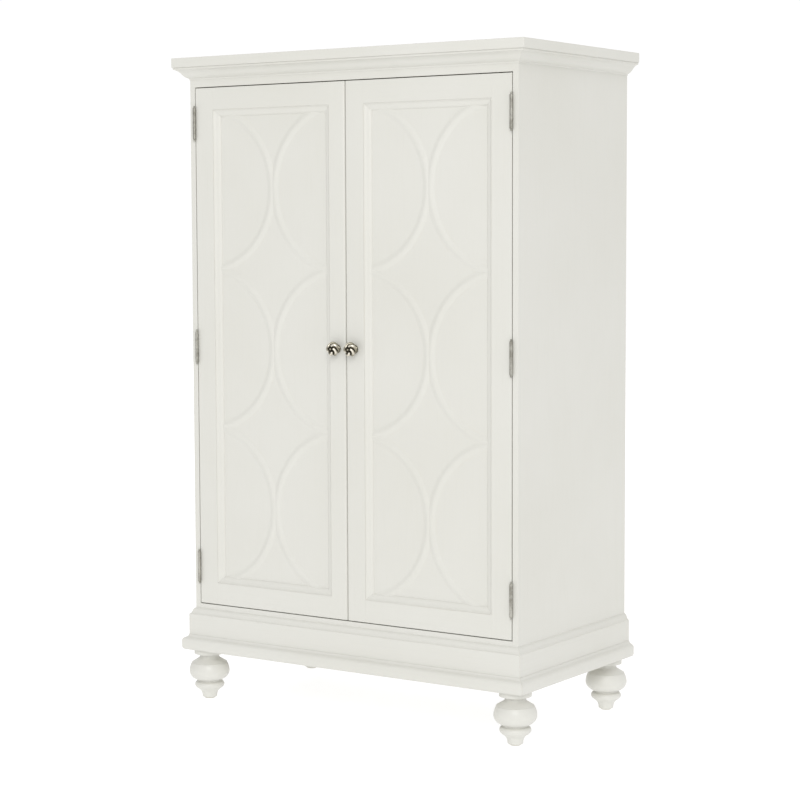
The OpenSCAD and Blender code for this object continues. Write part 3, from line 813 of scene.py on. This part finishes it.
def make_hinge_pins():
    """Pins with turned finials, at each of the six hinges."""
    low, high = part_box("hinge_pins")
    axis_x = high.x - BARREL_R * MM
    axis_y = low.y + BARREL_R * MM
    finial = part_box("frame_hinge_leaves")[0].z - low.z
    spacing = (high.z - low.z - HINGE_H * MM) / 2 - finial
    middle = (low.z + high.z) / 2
    half = HINGE_H / 2
    tip = finial / MM
    upper = [(PIN_R, half), (BARREL_R, half), (BARREL_R, half + FINIAL_COLLAR_H)]
    upper += [(BARREL_R - FINIAL_NECK[0], half + FINIAL_NECK[1])]
    upper += arc((0, half + FINIAL_BULB_Z), FINIAL_BULB_R, tip - FINIAL_BULB_Z, -35, 90)
    lower = [(radius, -height) for radius, height in reversed(upper)]
    outline = in_metres(softened(lower + upper, ROUNDING["pin"], closed=False))
    bm = bmesh.new()
    for side in (-1, 1):
        for level in HINGE_LEVELS:
            place = Matrix.Translation((side * axis_x, axis_y, middle + level * spacing))
            add_lathe(bm, outline, place, 40)
    make_piece("hinge_pins_turned", bm, NICKEL, "cabinet", "hinge_nickel", "hinge_pins")


# ---- Back ----

NAILS_ACROSS = 8
NAILS_UP = 10
NAIL_INSET = 9
# Head of a nail: its radius, the height of its dome, and how far it goes into the board
NAIL_R = 2.2
NAIL_DOME = 0.7
NAIL_DEPTH = 1.0
# How far a nail may be off its place, across and up
NAIL_STRAY = (1, 2)


def make_back_nails():
    """Small domed nails that hold the back panel along its edges."""
    rng = random.Random(7)
    low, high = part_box("back_panel")
    inset = NAIL_INSET * MM
    bm = bmesh.new()
    spots = []
    for i in range(NAILS_ACROSS):
        across = low.x + inset + (high.x - low.x - 2 * inset) * i / (NAILS_ACROSS - 1)
        spots += [(across, low.z + inset), (across, high.z - inset)]
    for i in range(1, NAILS_UP + 1):
        up = low.z + inset + (high.z - low.z - 2 * inset) * i / (NAILS_UP + 1)
        spots += [(low.x + inset / 2, up), (high.x - inset / 2, up)]
    head = in_metres([(0, -NAIL_DEPTH), (NAIL_R, -NAIL_DEPTH)] + arc((0, 0), NAIL_R, NAIL_DOME, 0, 90, 6))
    stray_x, stray_z = NAIL_STRAY
    for across, up in spots:
        stray = Vector((rng.uniform(-stray_x, stray_x), 0, rng.uniform(-stray_z, stray_z))) * MM
        place = Matrix.Translation(Vector((across, high.y, up)) + stray)
        add_lathe(bm, head, place @ Matrix.Rotation(-math.pi / 2, 4, "X"), 16)
    make_piece("back_nails", bm, ZINC, "cabinet", "fastener_steel")


make_crown()
make_plinth()
make_base_frame()
make_feet()
make_hinge_pins()
make_back_nails()
for door in DOORS:
    make_panel_moulding(door)
    make_lattice(door)
    make_knob(door)


# ---- Carried-over nodes: material and rounding of the edges in millimetres ----

CARRIED = [
    (PAINT_WIDE, 1.4, ["top_board"]),
    (PAINT_UP, 0.7, ["side_panel_left", "side_panel_right"]),
    (PAINT_WIDE, 0.35, ["front_top_rail", "front_bottom_rail"]),
    (INNER_WIDE, 0.8, ["top_panel", "bottom_panel", "hat_shelf"]),
    (INNER_WIDE, 1.0, ["shelf_cleats"]),
    (PAINT_WIDE, 1.0, ["base_frame_back"]),
    (WOOD_UP, 0.5, ["back_panel"]),
    (WOOD_WIDE, 0.8, ["back_top_rail", "back_bottom_rail"]),
    (GLIDE_PLASTIC, 0.8, ["foot_glides"]),
    (ZINC, 0.3, ["foot_bolts", "interior_screws"]),
    (CHROME, 0.4, ["hanging_rod", "rod_sockets"]),
    (CATCH_PLASTIC, 0.8, ["magnetic_catches"]),
    (NICKEL, 0.2, ["frame_hinge_leaves", "frame_hinge_screws"]),
]
for door in DOORS:
    CARRIED += [
        (PAINT_UP, 0.45, [door + "_hinge_stile", door + "_meeting_stile"]),
        (PAINT_WIDE, 0.45, [door + "_top_rail", door + "_bottom_rail"]),
        (PAINT_UP, 0.4, [door + "_panel"]),
        (NICKEL, 0.2, [door + "_hinge_leaves", door + "_hinge_screws"]),
        (ZINC, 0.3, [door + "_knob_screw", door + "_strike_plate"]),
    ]
for material, radius, names in CARRIED:
    for name in names:
        finish_node(name, material, radius)


# ---- Stage ----

FLOOR_R = 14
# Softbox: where it stands, its side and its power
KEY_AT = (4.5, -7.2, 5.0)
KEY_SIZE = 4.2
KEY_POWER = 290
# Brightness of the surroundings: straight below, straight above, what is taken away straight to the left,
# and behind the armoire
SKY_DOWN = 0.60
SKY_TOP = 0.88
SKY_LEFT = 0.20
SKY_BACK = 1.02
# Cosines of the angles from the camera's heading where the backdrop's glow starts and where it is full
GLOW_START = 0.5
GLOW_FULL = 0.9


def make_floor():
    """A pale floor that glows a little, as on a light table, so that it is as bright as the backdrop."""
    shader = Shader("stage_floor", Roughness=0.7)
    mottle = shader.noise(9, 3)
    shader.colour(shader.mix(mottle, rgb(0.35, 0.35, 0.35), rgb(0.38, 0.38, 0.38)))
    shader.set(shader.surface, {"Emission Color": rgb(1, 1, 1), "Emission Strength": 0.78})
    bm = bmesh.new()
    bmesh.ops.create_circle(bm, cap_ends=True, radius=FLOOR_R, segments=96)
    mesh = bpy.data.meshes.new("floor")
    bm.to_mesh(mesh)
    bm.free()
    mesh.materials.append(shader.material)
    floor = bpy.data.objects.new("floor", mesh)
    bpy.context.scene.collection.objects.link(floor)


def add_softbox(name, place, size, power):
    """A square soft light that faces the middle of the armoire and stays out of every picture."""
    target = Vector((0, 0, 0.85))
    lamp = bpy.data.lights.new(name, "AREA")
    lamp.shape = "SQUARE"
    lamp.size = size
    lamp.energy = power
    light = bpy.data.objects.new(name, lamp)
    light.visible_camera = False
    light.location = place
    light.rotation_euler = (target - Vector(place)).to_track_quat("-Z", "Y").to_euler()
    bpy.context.scene.collection.objects.link(light)


def make_world():
    """White surroundings, brighter above and darker on the left, with a lit backdrop behind the armoire."""
    world = bpy.data.worlds.new("studio")
    world.use_nodes = True
    tree = world.node_tree
    direction = tree.nodes.new("ShaderNodeTexCoord").outputs["Generated"]

    def ramp(heading, start, end, kind="LINEAR"):
        """A node whose value changes as a direction turns towards heading, between two cosines."""
        toward = tree.nodes.new("ShaderNodeVectorMath")
        toward.operation = "DOT_PRODUCT"
        toward.inputs[1].default_value = heading
        tree.links.new(direction, toward.inputs[0])
        change = tree.nodes.new("ShaderNodeMapRange")
        change.interpolation_type = kind
        change.inputs["From Min"].default_value = start
        change.inputs["From Max"].default_value = end
        tree.links.new(toward.outputs["Value"], change.inputs["Value"])
        return change

    above = ramp((0, 0, 1), -1, 1)
    above.inputs["To Min"].default_value = SKY_DOWN
    above.inputs["To Max"].default_value = SKY_TOP
    leftward = ramp((-1, 0, 0), 0, 1)
    leftward.inputs["To Max"].default_value = SKY_LEFT
    front = tree.nodes.new("ShaderNodeMath")
    front.operation = "SUBTRACT"
    tree.links.new(above.outputs[0], front.inputs[0])
    tree.links.new(leftward.outputs[0], front.inputs[1])
    yaw = math.radians(CAMERA_YAW)
    glow = ramp((-math.sin(yaw), math.cos(yaw), 0), GLOW_START, GLOW_FULL, "SMOOTHSTEP")
    glow.inputs["To Max"].default_value = SKY_BACK
    tree.links.new(front.outputs[0], glow.inputs["To Min"])
    tree.links.new(glow.outputs[0], tree.nodes["Background"].inputs["Strength"])
    tree.nodes["Background"].inputs["Color"].default_value = rgb(1.0, 1.0, 1.0)
    bpy.context.scene.world = world


def make_camera():
    """The camera that sees the armoire as its picture shows it."""
    lens = bpy.data.cameras.new("camera")
    lens.lens = CAMERA_LENS
    lens.clip_end = 60
    camera = bpy.data.objects.new("camera", lens)
    turn = Matrix.Rotation(math.radians(CAMERA_YAW), 4, "Z")
    tilt = Matrix.Rotation(math.radians(90 - CAMERA_TILT), 4, "X")
    roll = Matrix.Rotation(math.radians(CAMERA_ROLL), 4, "Z")
    camera.matrix_world = Matrix.Translation(CAMERA_AT) @ turn @ tilt @ roll
    bpy.context.scene.collection.objects.link(camera)
    bpy.context.scene.camera = camera


make_floor()
make_world()
add_softbox("key", KEY_AT, KEY_SIZE, KEY_POWER)
make_camera()
bpy.context.scene.view_settings.view_transform = "Standard"
